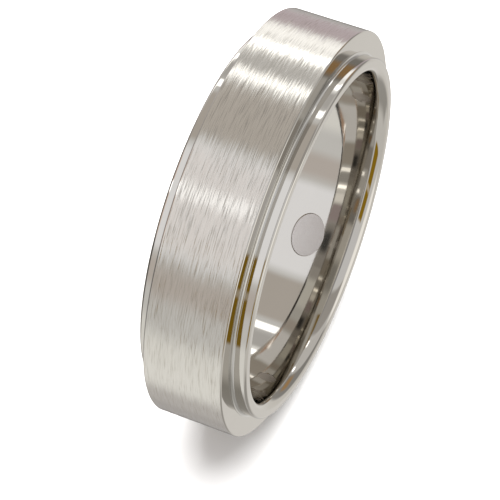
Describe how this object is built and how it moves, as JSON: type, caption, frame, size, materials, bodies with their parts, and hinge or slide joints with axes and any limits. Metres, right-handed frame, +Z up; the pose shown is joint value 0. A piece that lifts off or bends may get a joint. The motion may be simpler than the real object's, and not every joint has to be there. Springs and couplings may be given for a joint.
{
  "type": "wedding band",
  "caption": "Polished comfort-fit ring with a wide, raised, brushed centre hoop, a narrow polished ledge on each side, and a plain oval mark inside.",
  "frame": {"origin": "centre of the ring, on its axis and midway between its two rims", "axes": "+Y along the ring's axis, from the front rim to the back rim; +Z up, with the band standing on its hoop; +X to the right seen from the front"},
  "size_m": [0.0228, 0.006, 0.0228],
  "materials": {
    "polished_metal": "mirror-polished warm white precious metal",
    "brushed_metal": "fine brushed grain round the circumference, with polished corners and side walls",
    "solder": "polished white solder"
  },
  "bodies": {
    "root": {"comfort_fit_sleeve": "polished_metal", "raised_centre_hoop": "brushed_metal", "solder_fillet_front": "solder", "solder_fillet_back": "solder"}
  },
  "joints": []
}
